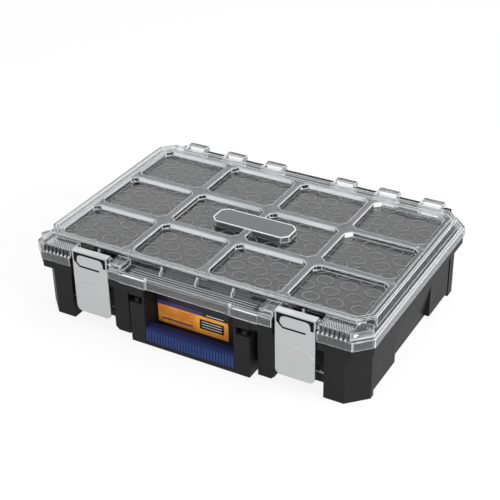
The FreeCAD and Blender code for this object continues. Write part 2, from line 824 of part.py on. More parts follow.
def latch_plate(side):
    """Bent steel plate: rounded foot, spring tongue in a window, claw at the top, ears on the pin."""
    name = f"latch_{side}"
    half = "latch_width / 2"
    centre = at(side, "latch_centre")
    ends = (f"{centre} - {half}", f"{centre} + {half}")
    sheet_y = ("latch_face", "latch_back")
    foot_top = "latch_low + latch_corner"
    solid = [
        block(f"{name}_plate", ends, sheet_y, (foot_top, "claw_top")),
        block(
            f"{name}_foot",
            (f"{centre} - {half} + latch_corner", f"{centre} + {half} - latch_corner"),
            sheet_y,
            ("latch_low", foot_top),
        ),
        block(f"{name}_claw", ends, ("latch_face", "latch_face + claw_reach"), ("claw_low", "claw_top")),
    ]
    corner_places = (f"{centre} - {half} + latch_corner", f"{centre} + {half} - latch_corner")
    for corner, place in enumerate(corner_places):
        solid.append(rod(f"{name}_corner_{corner}", "Y", (place, foot_top), sheet_y, "latch_corner"))
    for ear, edge in enumerate((f"{centre} - {half}", f"{centre} + {half} - latch_sheet")):
        ear_ends = (edge, f"{edge} + latch_sheet")
        solid.append(
            block(
                f"{name}_ear_{ear}",
                ear_ends,
                ("latch_face", "latch_pin_y"),
                ("latch_pin_height - ear_radius", "latch_pin_height + ear_radius"),
            )
        )
        solid.append(rod(f"{name}_ear_end_{ear}", "X", LATCH_AXIS, ear_ends, "ear_radius"))
    # Both latches are the same part, with the tongue's neck at the window's right lower corner
    window_left = f"{centre} - {half} + latch_window_margin"
    window_right = f"{centre} + {half} - latch_window_margin"
    slit_end = f"{window_right} - neck_width"
    opening = [
        (f"{window_left} + latch_window_clip", "latch_window_low"),
        (slit_end, "latch_window_low"),
        (slit_end, "latch_window_low + neck_height"),
        (window_right, "latch_window_low + neck_height"),
        (window_right, "latch_window_high"),
        (window_left, "latch_window_high"),
        (window_left, "latch_window_low + latch_window_clip"),
    ]
    through = past("latch_face", "latch_back", below=True, above=True)
    window_cut = prism(f"{name}_window", "XZ", opening, through)
    tongue_left = f"{window_left} + tongue_side_gap"
    tongue_right = f"{window_right} - tongue_side_gap"
    turn = f"tongue_corner * {ROUND_SHARE}"
    tongue = [
        (f"{tongue_left} + tongue_clip", "tongue_low"),
        (tongue_right, "tongue_low"),
        (tongue_right, "tongue_high - tongue_corner"),
        (f"{tongue_right} - {turn}", f"tongue_high - {turn}"),
        (f"{tongue_right} - tongue_corner", "tongue_high"),
        (f"{tongue_left} + tongue_corner", "tongue_high"),
        (f"{tongue_left} + {turn}", f"tongue_high - {turn}"),
        (tongue_left, "tongue_high - tongue_corner"),
        (tongue_left, "tongue_low + tongue_clip"),
    ]
    sheet_cut = cut(f"{name}_sheet", fused(f"{name}_solid", solid), [window_cut])
    whole = fused(f"{name}_whole", [sheet_cut, prism(f"{name}_tongue", "XZ", tongue, sheet_y)])
    pin_hole = rod(
        f"{name}_pin_hole",
        "X",
        LATCH_AXIS,
        past(ends[0], ends[1], below=True, above=True),
        "latch_pin_radius + pin_clearance",
    )
    return cut(name, whole, [pin_hole])


node("handle_grip", grip())
node("base_tray", base_tray())
node(
    "front_label",
    block(
        "label",
        ("label_left", "label_left + label_width"),
        ("tub_front - label_thick", "tub_front"),
        ("label_low", "label_low + label_height"),
    ),
)
for row in range(ROWS):
    for column in range(COLUMNS):
        node(f"bin_row_{row + 1}_column_{column + 1}", bin_box(column, row))
node("lid", lid())
node("lid_seal", seal())
for side in SIDES:
    node(f"hinge_pin_{side}", hinge_rod(f"hinge_wire_{side}", side, "hinge_pin_seat", "0"))
    pin_ends = span(side, "recess_in - latch_pin_seat", "leg_in + latch_pin_seat")
    node(f"latch_pin_{side}", rod(f"latch_rod_{side}", "X", LATCH_AXIS, pin_ends, "latch_pin_radius"))
    node(f"latch_plate_{side}", latch_plate(side))

doc.recompute()
for thing in doc.Objects:
    if {"Invalid", "Error"} & set(thing.State):
        raise RuntimeError(f"{thing.Name} failed to build")
for label, thing in NODES.items():
    if thing.Shape.isNull() or not thing.Shape.isValid() or len(thing.Shape.Solids) != 1:
        raise RuntimeError(f"{label} is not one valid solid")

os.makedirs("parts", exist_ok=True)
for label, thing in NODES.items():
    thing.Shape.exportStep(f"parts/{label}.step")
    size = thing.Shape.BoundBox
    print(f"{label}: {size.XLength:.1f} x {size.YLength:.1f} x {size.ZLength:.1f} mm")
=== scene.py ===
import json
import math

import bmesh
import bpy
from mathutils import Matrix, Vector

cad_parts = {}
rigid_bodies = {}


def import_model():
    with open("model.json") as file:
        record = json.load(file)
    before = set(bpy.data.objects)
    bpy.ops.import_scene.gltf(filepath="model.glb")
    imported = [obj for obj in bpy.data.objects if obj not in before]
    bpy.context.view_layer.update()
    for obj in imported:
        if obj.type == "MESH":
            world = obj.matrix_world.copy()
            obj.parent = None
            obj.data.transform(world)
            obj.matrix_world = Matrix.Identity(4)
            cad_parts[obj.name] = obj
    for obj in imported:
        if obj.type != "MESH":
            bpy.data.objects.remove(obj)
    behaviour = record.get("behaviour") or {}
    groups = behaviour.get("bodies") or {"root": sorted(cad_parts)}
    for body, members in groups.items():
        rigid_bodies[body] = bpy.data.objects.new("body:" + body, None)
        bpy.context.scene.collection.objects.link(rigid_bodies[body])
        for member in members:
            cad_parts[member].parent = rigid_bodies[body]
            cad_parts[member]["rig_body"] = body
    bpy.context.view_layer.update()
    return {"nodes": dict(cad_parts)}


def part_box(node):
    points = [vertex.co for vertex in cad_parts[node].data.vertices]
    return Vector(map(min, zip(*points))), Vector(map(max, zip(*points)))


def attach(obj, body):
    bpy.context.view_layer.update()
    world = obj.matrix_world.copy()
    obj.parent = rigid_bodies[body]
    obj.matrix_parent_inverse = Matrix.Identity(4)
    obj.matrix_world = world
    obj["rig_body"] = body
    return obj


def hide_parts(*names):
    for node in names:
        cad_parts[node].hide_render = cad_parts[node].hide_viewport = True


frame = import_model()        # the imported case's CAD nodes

MM = 0.001
SIDES = {"left": -1, "right": 1}
MERGE = 0.001 * MM            # corners of a CAD node's loose triangles that are closer are one corner
NEAR = 0.2 * MM               # a face this close to a level lies on it
SHARP = math.radians(28)      # edges that turn further are rounded
SMOOTH = math.radians(50)     # edges that turn further are shaded as hard edges
FLAT = 0.995                  # a normal with this share along an axis points along it
ACROSS = 1 - FLAT             # a normal with less than this share along an axis is square to it

# Bins and the windows over them
COLUMNS, ROWS = 4, 3
first_bin_low, first_bin_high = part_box("bin_row_1_column_1")
last_bin_low, last_bin_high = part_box("bin_row_3_column_4")
FIRST_CELL = (first_bin_low + first_bin_high) / 2
LAST_CELL = (last_bin_low + last_bin_high) / 2
CELL_PITCH = Vector(((LAST_CELL.x - FIRST_CELL.x) / (COLUMNS - 1),
                     (LAST_CELL.y - FIRST_CELL.y) / (ROWS - 1)))
RIB_WIDTH = 10 * MM
WINDOW_HALF = (CELL_PITCH - Vector((RIB_WIDTH, RIB_WIDTH))) / 2
WINDOW_CLIP = 8 * MM


def cell(column, row):
    """Middle of a bin, and of the window over it."""
    return Vector((FIRST_CELL.x + CELL_PITCH.x * column, FIRST_CELL.y + CELL_PITCH.y * row))


# Levels and places of the lid, whose steps follow the CAD solid
lid_low, lid_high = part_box("lid")
FRAME_TOP = lid_high.z
LATTICE_TOP = FRAME_TOP - 3 * MM
WINDOW_TOP = LATTICE_TOP - 6 * MM
LEDGE_TOP = FRAME_TOP - 13.5 * MM
BLOCK_TOP = FRAME_TOP - 4 * MM
BLOCK_FRONT = lid_low.y + 6 * MM
BLOCK_START = 174 * MM
BADGE_TOP = FRAME_TOP - 1.5 * MM
BADGE_HALF = Vector((56.5 * MM, 18 * MM))
BADGE_CLIP = 8 * MM
BADGE_MIDDLE = Vector((0, cell(0, 1).y))


# Colour and node helpers

MIX_FIRST, MIX_SECOND, MIX_RESULT = 6, 7, 2     # a Mix node's sockets for colours


def linear(code):
    """Linear colour of an sRGB hex value."""
    shares = [int(code[i:i + 2], 16) / 255 for i in (1, 3, 5)]
    return [c / 12.92 if c <= 0.04045 else ((c + 0.055) / 1.055) ** 2.4 for c in shares] + [1]


def add(material, kind, inputs=None, **settings):
    """Add a node with its settings; an input is a value or another node's output."""
    node = material.node_tree.nodes.new(kind)
    for name, value in settings.items():
        setattr(node, name, value)
    for socket, value in (inputs or {}).items():
        if isinstance(value, bpy.types.NodeSocket):
            material.node_tree.links.new(value, node.inputs[socket])
        else:
            node.inputs[socket].default_value = value
    return node


def surface(name, values):
    """New material with these values on its shader; returns it, its shader and its object coordinates."""
    material = bpy.data.materials.new(name)
    material.use_nodes = True
    shader = material.node_tree.nodes["Principled BSDF"]
    for socket, value in values.items():
        shader.inputs[socket].default_value = value
    place = add(material, "ShaderNodeTexCoord").outputs["Object"]
    return material, shader, place


def join(material, output, shader, socket):
    """Lead a node's output to an input of the shader."""
    material.node_tree.links.new(output, shader.inputs[socket])


def noise(material, place, size, detail):
    """Noise whose features are about this many millimetres wide."""
    inputs = {"Vector": place, "Scale": 1 / (size * MM), "Detail": detail}
    return add(material, "ShaderNodeTexNoise", inputs).outputs["Fac"]


def spread(material, share, low, high):
    """Values between low and high, led by a share from 0 to 1."""
    inputs = {"Value": share, "To Min": low, "To Max": high}
    return add(material, "ShaderNodeMapRange", inputs).outputs["Result"]


def tint(material, shader, share, colour, shade):
    """Give the shader a colour that goes over into a shade where the share rises."""
    inputs = {"Factor": share, MIX_FIRST: linear(colour), MIX_SECOND: linear(shade)}
    mixed = add(material, "ShaderNodeMix", inputs, data_type="RGBA")
    join(material, mixed.outputs[MIX_RESULT], shader, "Base Color")


def relief(material, shader, height, strength, depth):
    """Let a pattern show as fine relief of this depth in millimetres."""
    inputs = {"Height": height, "Strength": strength, "Distance": depth * MM}
    bump = add(material, "ShaderNodeBump", inputs)
    join(material, bump.outputs["Normal"], shader, "Normal")


# Materials

POLYCARBONATE_IOR = 1.585


def moulded_polypropylene(name, colour, shade, roughness, grain):
    """Polypropylene moulded in a spark-eroded tool: satin, with a fine grain and faint flow clouds."""
    material, shader, place = surface(name, {"IOR": 1.49, "Specular IOR Level": 0.12})
    clouds = noise(material, place, 35, 3)
    tint(material, shader, clouds, colour, shade)
    unevenness = 0.06
    sheen = spread(material, clouds, roughness - unevenness, roughness + unevenness)
    join(material, sheen, shader, "Roughness")
    relief(material, shader, noise(material, place, grain, 2), 0.35, 0.06)
    return material


def clear_polycarbonate():
    """Polished clear polycarbonate, injection moulded, with a faint ripple from the mould's flow."""
    material, shader, place = surface("clear_polycarbonate", {
        "Base Color": linear("#fafbfb"), "IOR": POLYCARBONATE_IOR, "Roughness": 0.03,
        "Transmission Weight": 1})
    relief(material, shader, noise(material, place, 18, 1), 0.25, 0.12)
    return material


def etched_polycarbonate(name, colour, roughness, passing):
    """The same polycarbonate where the mould was blasted or abraded: it scatters light and passes less. Also
    used for pale finishes that are painted highlight and grey finishes that are painted shade.
    """
    material, shader, place = surface(name, {
        "Base Color": linear(colour), "IOR": POLYCARBONATE_IOR, "Roughness": roughness,
        "Transmission Weight": passing})
    relief(material, shader, noise(material, place, 0.5, 2), 0.2, 0.03)
    return material


def brushed_steel(name, colour, shade, roughness):
    """Plated or drawn steel, and the dark sheet of painted shade behind each latch window, with fine upright
    streaks: a soft silky glare.
    """
    material, shader, place = surface(name, {"Metallic": 1, "Anisotropic": 0.35})
    stretched = add(material, "ShaderNodeMapping", {"Vector": place, "Scale": (1, 1, 0.04)})
    streaks = noise(material, stretched.outputs["Vector"], 0.6, 3)
    tint(material, shader, noise(material, place, 16, 2), colour, shade)
    unevenness = 0.08
    gloss = spread(material, streaks, roughness - unevenness, roughness + unevenness)
    join(material, gloss, shader, "Roughness")
    relief(material, shader, streaks, 0.15, 0.02)
    return material


def soft_rubber(name, colour, shade, roughness):
    """Moulded thermoplastic rubber: matt, a little dusty, with a faint sheen at the edges."""
    material, shader, place = surface(name, {
        "IOR": 1.5, "Specular IOR Level": 0.15, "Sheen Weight": 0.02, "Roughness": roughness})
    tint(material, shader, noise(material, place, 9, 4), colour, shade)
    relief(material, shader, noise(material, place, 0.7, 2), 0.3, 0.05)
    return material


def printed_film(name, colour, shade, blotch):
    """Ink on glossy label film, laid in soft blotches of two tones."""
    material, shader, place = surface(name, {
        "IOR": 1.5, "Roughness": 0.32, "Specular IOR Level": 0.25, "Coat Weight": 0.04})
    tones = noise(material, place, blotch, 3)
    contrast = add(material, "ShaderNodeMapRange", {"Value": tones, "From Min": 0.3, "From Max": 0.7})
    tint(material, shader, contrast.outputs["Result"], colour, shade)
    relief(material, shader, noise(material, place, 0.8, 1), 0.1, 0.02)
    return material


TRAY = moulded_polypropylene("charcoal_polypropylene", "#1a1a1b", "#1f1f20", 0.52, 0.6)
BIN = moulded_polypropylene("black_polypropylene", "#1d1d1e", "#232324", 0.42, 0.5)
CLEAR = clear_polycarbonate()
FROSTED = etched_polycarbonate("frosted_polycarbonate", "#c4c8cb", 0.3, 0.95)
HEXAGON_LINE = etched_polycarbonate("raised_line_polycarbonate", "#d8dbdd", 0.36, 0.84)
SKIRT = etched_polycarbonate("textured_polycarbonate", "#c0c3c5", 0.2, 0.94)
# pale, half-opaque finish on rounded edges, raised lines, pebbles and posts: painted highlight
PAINTED_EDGE_HIGHLIGHT = etched_polycarbonate("painted_edge_highlight_polycarbonate", "#d3d6d8", 0.3, 0.35)
# near-white, nearly opaque finish: painted reflection on the window walls, painted highlight on the small
# domes and the badge rim
PAINTED_WHITE_HIGHLIGHT = etched_polycarbonate("painted_white_highlight_polycarbonate", "#f7f7fa", 0.5, 0.06)
# dark grey tint on the clear fins: painted shade
PAINTED_SHADE_FIN = etched_polycarbonate("painted_shade_fin_polycarbonate", "#4a4c4e", 0.1, 0.9)
# grey, half-clear finish on the badge plate and the corner blocks' front and diagonal faces: painted shade
PAINTED_SHADE_GREY = etched_polycarbonate("painted_shade_polycarbonate", "#8b8d8f", 0.3, 0.7)
ZINC = brushed_steel("brushed_zinc_plate", "#b8bec4", "#bfc0b8", 0.34)
# near-black steel for the sheet behind each latch window: painted shade
PAINTED_SHADE_STEEL = brushed_steel("painted_shade_sheet_steel", "#20262a", "#161b1d", 0.42)
# drawn steel darkened well below bare steel: painted shade for the dim pin ends
PAINTED_SHADE_WIRE = brushed_steel("drawn_steel_wire_painted_shade", "#6f7274", "#626567", 0.36)
GRIP = soft_rubber("navy_rubber", "#131c46", "#192450", 0.6)
# lighter copy of the grip's navy rubber for the front ribs: painted light
GRIP_RIB_PAINTED_LIGHT = soft_rubber("ribbed_navy_rubber_painted_light", "#213667", "#293f76", 0.42)
SEAL = soft_rubber("black_rubber", "#161617", "#1c1c1d", 0.6)
LABEL_ORANGE = printed_film("orange_print", "#f2a844", "#d98436", 16)
LABEL_BROWN = printed_film("brown_print", "#8a5426", "#75441e", 12)
LABEL_BLACK = printed_film("black_print", "#17151c", "#1e1b26", 20)
LABEL_VIOLET = printed_film("violet_print", "#473a74", "#38305e", 18)
LABEL_WHITE = printed_film("white_print", "#eceae6", "#dedcd8", 10)


# Shape helpers

def piece(name, shape, body, materials, replaces=()):
    """Turn a bmesh into a finished piece that rides on a body."""
    mesh = bpy.data.meshes.new(name)
    shape.to_mesh(mesh)
    shape.free()
    for material in materials:
        mesh.materials.append(material)
    mesh.shade_smooth()
    mesh.set_sharp_from_angle(angle=SMOOTH)
    made = bpy.data.objects.new(name, mesh)
    bpy.context.scene.collection.objects.link(made)
    even = made.modifiers.new("even_faces", "WEIGHTED_NORMAL")
    even.keep_sharp = True
    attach(made, body)
    if replaces:
        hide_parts(*replaces)


def soften(shape, geom, radius, segments=2, affect="EDGES", **options):
    """Round these edges of a shape, or its corners in the plane."""
    bmesh.ops.bevel(shape, geom=geom, offset=radius, offset_type="OFFSET", segments=segments, profile=0.5,
                    affect=affect, material=-1, **options)


def rounded(node, radius):
    """Copy of a CAD node's shape with its loose triangles merged and its sharp edges rounded."""
    shape = bmesh.new()
    shape.from_mesh(frame["nodes"][node].data)
    bmesh.ops.remove_doubles(shape, verts=shape.verts, dist=MERGE)
    sharp = [e for e in shape.edges if e.is_manifold and e.calc_face_angle() > SHARP]
    soften(shape, sharp, radius, clamp_overlap=False, loop_slide=True)
    return shape


def dress(node, name, radius, material):
    """Replace a CAD node by its rounded copy with a finish."""
    body = frame["nodes"][node]["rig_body"]
    piece(name, rounded(node, radius), body, [material], [node])


def edges_at(corners):
    """All edges that meet these corners."""
    return list({edge for vert in corners for edge in vert.link_edges})


def block(shape, low, high):
    """Add a sharp block between two corners and return its own corners."""
    low, high = Vector(low), Vector(high)
    made = bmesh.ops.create_cube(shape, size=1)["verts"]
    bmesh.ops.scale(shape, verts=made, vec=high - low)
    bmesh.ops.translate(shape, verts=made, vec=(low + high) / 2)
    return made


def bar(shape, low, high, radius, segments=2):
    """Add a block between two corners, with all its edges rounded."""
    soften(shape, edges_at(block(shape, low, high)), radius, segments)


def ball(shape, middle, radius, around, up):
    """Add a ball with this many faces around it and from pole to pole."""
    made = bmesh.ops.create_uvsphere(shape, u_segments=around, v_segments=up, radius=radius)["verts"]
    bmesh.ops.translate(shape, verts=made, vec=middle)


def thicken(shape, travel):
    """Give a shape's flat faces a thickness and return the corners of the side that moved."""
    grown = bmesh.ops.extrude_face_region(shape, geom=shape.faces[:])["geom"]
    moved = [v for v in grown if isinstance(v, bmesh.types.BMVert)]
    bmesh.ops.translate(shape, verts=moved, vec=travel)
    bmesh.ops.recalc_face_normals(shape, faces=shape.faces)
    return moved


def hollow(shape, width):
    """Leave only a border of this width of a shape's one flat face."""
    inside = shape.faces[:]
    bmesh.ops.inset_region(shape, faces=inside, thickness=width, use_boundary=True, use_even_offset=True)
    bmesh.ops.delete(shape, geom=inside, context="FACES")


def merge(shape, fresh):
    """Move all of a fresh shape into another one."""
    patch = bpy.data.meshes.new("patch")
    fresh.to_mesh(patch)
    fresh.free()
    shape.from_mesh(patch)
    bpy.data.meshes.remove(patch)


# Lid

def lid_shell():
    """Clear lid with frosted ribs and a textured skirt; its rounded edges are pale as painted highlight, its
    front-facing window walls white as painted reflection, its corner block faces grey as painted shade.
    """
    shape = rounded("lid", 0.6 * MM)
    clear, frosted, edge, painted_white, skirt, painted_shade = range(6)
    block_depth = 14 * MM
    far_walls = [cell(0, row).y + WINDOW_HALF.y for row in range(ROWS)]
    clear_column = cell(COLUMNS - 1, 0).x - CELL_PITCH.x / 2
    front_row_end = cell(0, 0).y + CELL_PITCH.y / 2
    for face in shape.faces:
        middle = face.calc_center_median()
        normal = face.normal
        level = max(abs(c) for c in normal) > FLAT
        upright = abs(normal.z) < ACROSS
        diagonal = upright and abs(abs(normal.x) - abs(normal.y)) < ACROSS
        faces_up = normal.z > FLAT
        faces_front = normal.y < -FLAT
        faces_out = middle.xy.dot(normal.xy) > 0
        in_window = WINDOW_TOP < middle.z < LATTICE_TOP
        in_clear_column = middle.x > clear_column
        in_front_row = middle.y < front_row_end
        at_far_wall = any(abs(middle.y - wall) < WINDOW_CLIP for wall in far_walls)
        from_badge = middle.xy - BADGE_MIDDLE
        at_badge = abs(from_badge.x) < BADGE_HALF.x + MM and abs(from_badge.y) < BADGE_HALF.y + MM
        past_block_start = abs(middle.x) > BLOCK_START
        on_block = past_block_start and middle.z > LEDGE_TOP
        # rounded edge faces take the pale finish: painted highlight
        if not level and not diagonal:
            face.material_index = edge
        # window walls facing the front, and the right column's far diagonal walls, painted white: painted
        # reflection
        elif in_window and at_far_wall and faces_front and not in_clear_column:
            face.material_index = painted_white
        elif in_window and diagonal and normal.y < 0 < normal.x and in_clear_column and not in_front_row:
            face.material_index = painted_white
        elif at_badge and WINDOW_TOP < middle.z < BADGE_TOP:
            face.material_index = frosted
        elif past_block_start and faces_up and abs(middle.z - LEDGE_TOP) < NEAR:
            face.material_index = skirt
        elif faces_up and abs(middle.z - LATTICE_TOP) < NEAR:
            face.material_index = frosted
        # front and diagonal faces of the corner blocks greyed: painted shade
        elif on_block and faces_front and middle.y < BLOCK_FRONT + MM:
            face.material_index = painted_shade
        elif on_block and diagonal and middle.y < BLOCK_FRONT + block_depth:
            face.material_index = painted_shade
        elif upright and faces_out and middle.z < LEDGE_TOP:
            face.material_index = skirt
        else:
            face.material_index = clear
    finishes = [CLEAR, FROSTED, PAINTED_EDGE_HIGHLIGHT, PAINTED_WHITE_HIGHLIGHT, SKIRT, PAINTED_SHADE_GREY]
    piece("lid_shell", shape, "lid", finishes, ["lid"])


HEXAGON = Vector((24.5 * MM, 17 * MM))          # length and depth of one flat hexagon
HEXAGON_PITCH = Vector((32.2 * MM, 20 * MM))
HEXAGON_START = Vector((40.9 * MM, -69.4 * MM))


def hexagon_outline(thick):
    """Mesh of the raised outline of one flat hexagon with soft corners."""
    corner, line = 3.5 * MM, 0.7 * MM
    squash = HEXAGON.y / HEXAGON.x / math.cos(math.pi / 6)
    ring = bmesh.new()
    bmesh.ops.create_circle(ring, cap_ends=True, segments=6, radius=HEXAGON.x / 2)
    bmesh.ops.rotate(ring, verts=ring.verts, matrix=Matrix.Rotation(math.pi / 2, 3, "Z"))
    bmesh.ops.scale(ring, verts=ring.verts, vec=(1, squash, 1))
    soften(ring, ring.verts[:], corner, affect="VERTICES")
    hollow(ring, line)
    thicken(ring, (0, 0, thick))
    mesh = bpy.data.meshes.new("hexagon_outline")
    ring.to_mesh(mesh)
    ring.free()
    return mesh


def steps(low, high, pitch):
    """Numbers of the lattice steps between two places."""
    return range(math.floor(low / pitch), math.ceil(high / pitch))


def cut_to_window(pattern, middle):
    """Cut a pattern off at a window's four sides and four clipped corners, and close the cuts."""
    corner_reach = WINDOW_HALF.x + WINDOW_HALF.y - WINDOW_CLIP
    centre = Vector((middle.x, middle.y, 0))
    for turn in range(8):
        angle = turn * math.pi / 4
        normal = Vector((math.cos(angle), math.sin(angle), 0))
        if turn % 2:
            far = corner_reach / math.sqrt(2)
        else:
            far = abs(normal.x) * WINDOW_HALF.x + abs(normal.y) * WINDOW_HALF.y
        everything = pattern.verts[:] + pattern.edges[:] + pattern.faces[:]
        cut = bmesh.ops.bisect_plane(pattern, geom=everything, plane_co=centre + normal * far,
                                     plane_no=normal, clear_outer=True)
        rims = [e for e in cut["geom_cut"] if isinstance(e, bmesh.types.BMEdge) and e.is_boundary]
        if rims:
            bmesh.ops.holes_fill(pattern, edges=rims, sides=0)


def honeycomb():
    """Raised outlines of flat hexagons on the windows, one lattice cut off at each window's edge."""
    rise, sunk = 0.25 * MM, 0.05 * MM
    pitch, start = HEXAGON_PITCH, HEXAGON_START
    hexagon = hexagon_outline(rise + sunk)
    whole = bmesh.new()
    for column in range(COLUMNS):
        for row in range(ROWS):
            window = bmesh.new()
            middle = cell(column, row)
            low = middle - WINDOW_HALF - HEXAGON
            high = middle + WINDOW_HALF + HEXAGON
            for j in steps(low.y - start.y, high.y - start.y, pitch.y):
                shift = start.x + pitch.x / 2 * (j % 2)
                for i in steps(low.x - shift, high.x - shift, pitch.x):
                    before = len(window.verts)
                    window.from_mesh(hexagon)
                    window.verts.ensure_lookup_table()
                    place = (shift + pitch.x * i, start.y + pitch.y * j, WINDOW_TOP - sunk)
                    bmesh.ops.translate(window, verts=window.verts[before:], vec=place)
            cut_to_window(window, middle)
            merge(whole, window)
    bpy.data.meshes.remove(hexagon)
    piece("lid_honeycomb", whole, "lid", [HEXAGON_LINE])


def outline(shape, middle, half, clip, base, rise, width=None):
    """Add a low plate with clipped corners, or only a raised line of this width round its edge."""
    rim_turn, rim_share = math.radians(60), 0.4
    fresh = bmesh.new()
    corners = []
    for x, y, turned in ((1, -1, False), (1, 1, True), (-1, 1, False), (-1, -1, True)):
        pair = [(half.x - clip, half.y), (half.x, half.y - clip)]
        for across, along in reversed(pair) if turned else pair:
            corners.append(fresh.verts.new((middle.x + x * across, middle.y + y * along, base)))
    fresh.faces.new(corners)
    fresh.normal_update()
    if width:
        hollow(fresh, width)
    thicken(fresh, (0, 0, rise))
    sharp = [e for e in fresh.edges if e.calc_face_angle() > rim_turn]
    soften(fresh, sharp, rise * rim_share)
    merge(shape, fresh)


def lid_lines():
    """Moulded lines round each window, along the frame and on the front ledge, in a pale finish: painted
    highlight.
    """
    sunk, rise, width, margin = 0.1 * MM, 0.4 * MM, 0.8 * MM, 1.2 * MM
    window_half = WINDOW_HALF + Vector((margin, margin))
    shape = bmesh.new()
    for column in range(COLUMNS):
        for row in range(ROWS):
            outline(shape, cell(column, row), window_half, WINDOW_CLIP, LATTICE_TOP - sunk, rise, width)

    frame_half = Vector((231 * MM, 146 * MM))
    frame_middle = Vector((0, 2.5 * MM))
    frame_clip, clip_share, frame_rise, frame_width = 18 * MM, 0.6, 0.34 * MM, MM
    for inset in (2.5 * MM, 7 * MM):
        half = frame_half - Vector((inset, inset))
        clip = frame_clip - inset * clip_share
        outline(shape, frame_middle, half, clip, FRAME_TOP - sunk, frame_rise, frame_width)

    count, pitch, half_long, ridge = 4, 4.5 * MM, 88 * MM, 0.4 * MM
    for i in range(count):
        y = BLOCK_FRONT + pitch * i
        low = (-half_long, y - ridge, LEDGE_TOP - sunk)
        high = (half_long, y + ridge, LEDGE_TOP + ridge)
        bar(shape, low, high, ridge / 2)
    piece("lid_lines", shape, "lid", [PAINTED_EDGE_HIGHLIGHT])


def badge():
    """Bare badge on the lid: a low grey plate of painted shade inside a near-white rim of painted highlight.
    """
    sunk, plate_rise, rim_rise, rim_width = 0.1 * MM, 0.5 * MM, 0.8 * MM, 1.2 * MM
    plate_half = BADGE_HALF - Vector((MM, MM))
    plate = bmesh.new()
    outline(plate, BADGE_MIDDLE, plate_half, BADGE_CLIP, BADGE_TOP - sunk, plate_rise)
    piece("lid_badge_plate", plate, "lid", [PAINTED_SHADE_GREY])
    rim = bmesh.new()
    outline(rim, BADGE_MIDDLE, BADGE_HALF, BADGE_CLIP, BADGE_TOP - 2 * sunk, rim_rise, rim_width)
    piece("lid_badge_rim", rim, "lid", [PAINTED_WHITE_HIGHLIGHT])


def corner_fins():
    """Upright fins on the ledge and behind the skirt at the lid's front corners, tinted dark as painted
    shade, with small white domes on the ledge as painted highlights.
    """
    front = lid_low.y + 2 * MM
    skirt_back = front + 3 * MM
    ledge_low = LEDGE_TOP - 2.5 * MM
    count, first, pitch, sunk = 7, 179 * MM, 5.8 * MM, 0.5 * MM
    half, fin_front, fin_top, fin_edge = 0.55 * MM, front + 0.8 * MM, FRAME_TOP - 5 * MM, 0.3 * MM
    lower_half, lower_foot, lower_depth, lower_edge = 0.9 * MM, lid_low.z + MM, 2.5 * MM, 0.4 * MM
    pip_front, pip_rise, pip_radius = front + 1.2 * MM, 0.5 * MM, 1.1 * MM
    fins = bmesh.new()
    highlight_pips = bmesh.new()
    for sign in SIDES.values():
        for i in range(count):
            x = sign * (first + pitch * i)
            low = (x - half, fin_front, LEDGE_TOP - sunk)
            high = (x + half, BLOCK_FRONT + sunk, fin_top)
            bar(fins, low, high, fin_edge)
            low = (x - lower_half, skirt_back - sunk, lower_foot)
            high = (x + lower_half, skirt_back + lower_depth, ledge_low + sunk)
            bar(fins, low, high, lower_edge)
            # small white domes at the fins' feet: painted highlights
            ball(highlight_pips, (x - sign * pitch / 2, pip_front, LEDGE_TOP + pip_rise), pip_radius, 10, 6)
    piece("lid_corner_fins", fins, "lid", [PAINTED_SHADE_FIN])
    piece("lid_corner_highlight_pips", highlight_pips, "lid", [PAINTED_WHITE_HIGHLIGHT])


def corner_pebbles():
    """Stippled top of the lid's front corner blocks, a bed of low round pebbles in a pale finish: painted
    highlight.
    """
    first = Vector((177.5 * MM, lid_low.y + 8 * MM))
    pitch, row_share, radius, sink = 3.1 * MM, 0.87, 0.85 * MM, 0.2 * MM
    columns, rows = 12, 5
    shape = bmesh.new()
    for sign in SIDES.values():
        for row in range(rows):
            y = first.y + pitch * row_share * row
            for column in range(columns):
                x = sign * (first.x + pitch * (column + 0.5 * (row % 2)))
                ball(shape, (x, y, BLOCK_TOP - sink), radius, 8, 5)
    piece("lid_corner_pebbles", shape, "lid", [PAINTED_EDGE_HIGHLIGHT])


def tab_posts():
    """Small upright post at the inner end of each front tab of the lid, in a pale finish: painted highlight.
    """
    foot, head = lid_low.z + 0.5 * MM, FRAME_TOP - 10 * MM
    radius, end_radius, across, front = 1.9 * MM, 0.7 * MM, 60 * MM, lid_low.y + 3 * MM
    shape = bmesh.new()
    for sign in SIDES.values():
        made = bmesh.ops.create_cone(shape, cap_ends=True, segments=24, radius1=radius, radius2=radius,
                                     depth=head - foot)["verts"]
        bmesh.ops.translate(shape, verts=made, vec=(sign * across, front, (foot + head) / 2))
    ends = [e for e in shape.edges if e.calc_face_angle() > SHARP]
    soften(shape, ends, end_radius, segments=3)
    piece("lid_tab_posts", shape, "lid", [PAINTED_EDGE_HIGHLIGHT])


# Case

def grip_ribs():
    """Fine upright ribs moulded on the front of the grip, in a lighter copy of its rubber: painted light."""
    low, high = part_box("handle_grip")
    count, share_wide, proud, sunk, edge = 30, 0.62, 0.8 * MM, 0.6 * MM, 0.6 * MM
    foot, head = low.z + 0.8 * MM, high.z - 5 * MM
    pitch = (high.x - low.x) / count
    half = pitch * share_wide / 2
    shape = bmesh.new()
    for i in range(count):
        x = low.x + pitch * (i + 0.5)
        bar(shape, (x - half, low.y - proud, foot), (x + half, low.y + sunk, head), edge)
    piece("grip_ribs", shape, "case", [GRIP_RIB_PAINTED_LIGHT])


